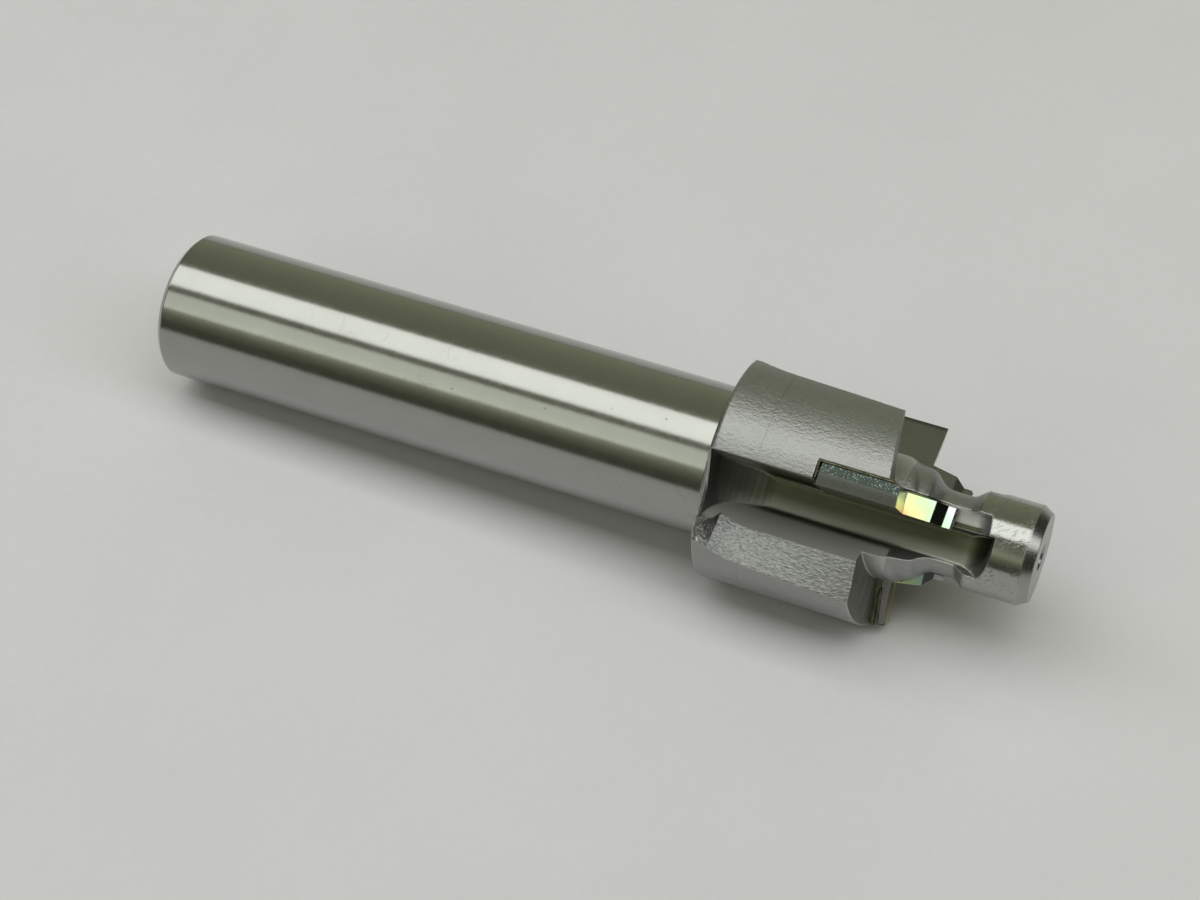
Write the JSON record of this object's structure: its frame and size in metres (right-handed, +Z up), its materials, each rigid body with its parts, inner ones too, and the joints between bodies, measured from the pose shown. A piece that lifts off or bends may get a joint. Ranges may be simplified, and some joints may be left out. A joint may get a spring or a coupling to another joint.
{
  "type": "port form cutter",
  "caption": "Piloted rotary form cutter with brazed carbide form inserts, for facing and bevelling the mouth of a threaded fluid port in one pass.",
  "frame": {"origin": "on the floor, below the middle of the cutter's bounding box", "axes": "+X along the cutter from the shank to the pilot, +Z up; the cutter lies at rest on its shank end, one carbide edge and one heel ridge, with its axis about 2.2 degrees nose-up"},
  "size_m": [0.0772, 0.0188, 0.0183],
  "materials": {
    "tool_steel": "ground bright on the shank and the pilot, grit-blasted matte on the head and the neck",
    "tungsten_carbide": "ground on the edges and the faces, duller where it was brazed",
    "braze_alloy": "dull yellowish braze"
  },
  "bodies": {
    "root": {"tool_body": "tool_steel", "carbide_insert_1": "tungsten_carbide", "carbide_insert_2": "tungsten_carbide", "carbide_insert_3": "tungsten_carbide", "braze_layer_1": "braze_alloy", "braze_layer_2": "braze_alloy", "braze_layer_3": "braze_alloy"}
  },
  "joints": []
}
